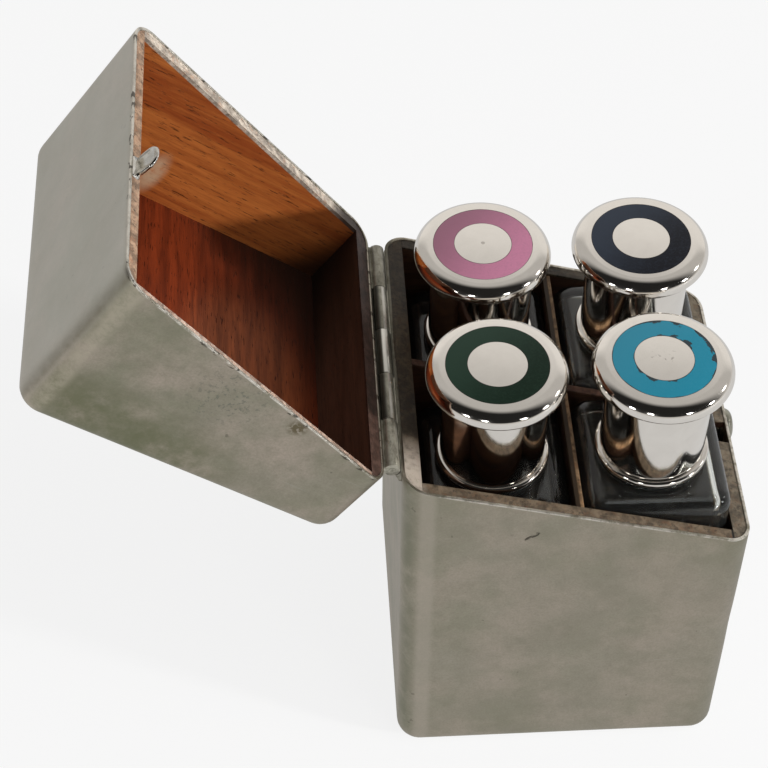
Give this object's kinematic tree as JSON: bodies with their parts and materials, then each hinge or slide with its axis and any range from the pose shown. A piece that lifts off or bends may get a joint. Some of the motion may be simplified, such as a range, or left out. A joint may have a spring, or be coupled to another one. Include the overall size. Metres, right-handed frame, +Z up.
{
  "type": "perfume bottle caddy",
  "caption": "Hinged box cut on a slant, in plated sheet metal with a wooden lining and cross divider, for square glass bottles with mushroom caps and enamel rings.",
  "frame": {"origin": "middle of the base's underside, on the surface that it stands on", "axes": "+X from the hinge to the push button, +Y from front to back, +Z up"},
  "size_m": [0.1533, 0.076, 0.1654],
  "materials": {
    "plated_sheet": "worn matt silver plate",
    "hinge_metal": "dull plate",
    "button_metal": "worn plate",
    "catch_steel": "bare steel",
    "lining_wood": "waxed mahogany",
    "divider_wood": "waxed hardwood",
    "bottle_glass": "clear",
    "stopper_glass": "clear, ground plug",
    "cap_silver": "polished silver plate",
    "cork": "natural cork",
    "enamel_rose": "glossy enamel",
    "enamel_navy": "glossy enamel",
    "enamel_green": "glossy enamel",
    "enamel_turquoise": "glossy enamel"
  },
  "bodies": {
    "base": {"base_shell": "plated_sheet", "base_floor_board": "lining_wood", "base_board_left": "lining_wood", "base_board_right": "lining_wood", "base_board_front": "lining_wood", "base_board_back": "lining_wood", "divider_long": "divider_wood", "divider_cross": "divider_wood", "base_hinge_leaf": "hinge_metal", "hinge_pin": "hinge_metal", "latch_spring": "catch_steel"},
    "lid": {"lid_shell": "plated_sheet", "lid_top_board": "lining_wood", "lid_board_left": "lining_wood", "lid_board_right": "lining_wood", "lid_board_front": "lining_wood", "lid_board_back": "lining_wood", "lid_hinge_leaf": "hinge_metal", "lid_catch_tongue": "catch_steel"},
    "latch": {"latch_button": "button_metal", "latch_bolt": "catch_steel"},
    "bottle_rose": {"bottle_rose": "bottle_glass"},
    "cap_rose": {"cap_rose": "cap_silver", "enamel_ring_rose": "enamel_rose", "stopper_rose": "stopper_glass", "cork_rose": "cork"},
    "bottle_navy": {"bottle_navy": "bottle_glass"},
    "cap_navy": {"cap_navy": "cap_silver", "enamel_ring_navy": "enamel_navy", "stopper_navy": "stopper_glass", "cork_navy": "cork"},
    "bottle_green": {"bottle_green": "bottle_glass"},
    "cap_green": {"cap_green": "cap_silver", "enamel_ring_green": "enamel_green", "stopper_green": "stopper_glass", "cork_green": "cork"},
    "bottle_turquoise": {"bottle_turquoise": "bottle_glass"},
    "cap_turquoise": {"cap_turquoise": "cap_silver", "enamel_ring_turquoise": "enamel_turquoise", "stopper_turquoise": "stopper_glass", "cork_turquoise": "cork"}
  },
  "joints": [
    {"name": "lid_hinge", "type": "hinge", "parent": "base", "child": "lid", "pos_m": [-0.03998, 0, 0.0981], "axis": [0, -1, 0], "range_deg": [-143.7, 0]},
    {"name": "button_press", "type": "slide", "parent": "base", "child": "latch", "axis": [-1, 0, 0], "range_m": [0, 0.0008], "stiffness_N_per_m": 400, "springref_m": -0.001, "deforming": ["latch_spring"]},
    {"name": "bottle_rose_lift", "type": "slide", "parent": "base", "child": "bottle_rose", "axis": [0, 0, 1], "range_m": [0, 0.1]},
    {"name": "cap_rose_lift", "type": "slide", "parent": "bottle_rose", "child": "cap_rose", "axis": [0, 0, 1], "range_m": [0, 0.03]},
    {"name": "bottle_navy_lift", "type": "slide", "parent": "base", "child": "bottle_navy", "axis": [0, 0, 1], "range_m": [0, 0.1]},
    {"name": "cap_navy_lift", "type": "slide", "parent": "bottle_navy", "child": "cap_navy", "axis": [0, 0, 1], "range_m": [0, 0.03]},
    {"name": "bottle_green_lift", "type": "slide", "parent": "base", "child": "bottle_green", "axis": [0, 0, 1], "range_m": [0, 0.1]},
    {"name": "cap_green_lift", "type": "slide", "parent": "bottle_green", "child": "cap_green", "axis": [0, 0, 1], "range_m": [0, 0.03]},
    {"name": "bottle_turquoise_lift", "type": "slide", "parent": "base", "child": "bottle_turquoise", "axis": [0, 0, 1], "range_m": [0, 0.1]},
    {"name": "cap_turquoise_lift", "type": "slide", "parent": "bottle_turquoise", "child": "cap_turquoise", "axis": [0, 0, 1], "range_m": [0, 0.03]}
  ]
}
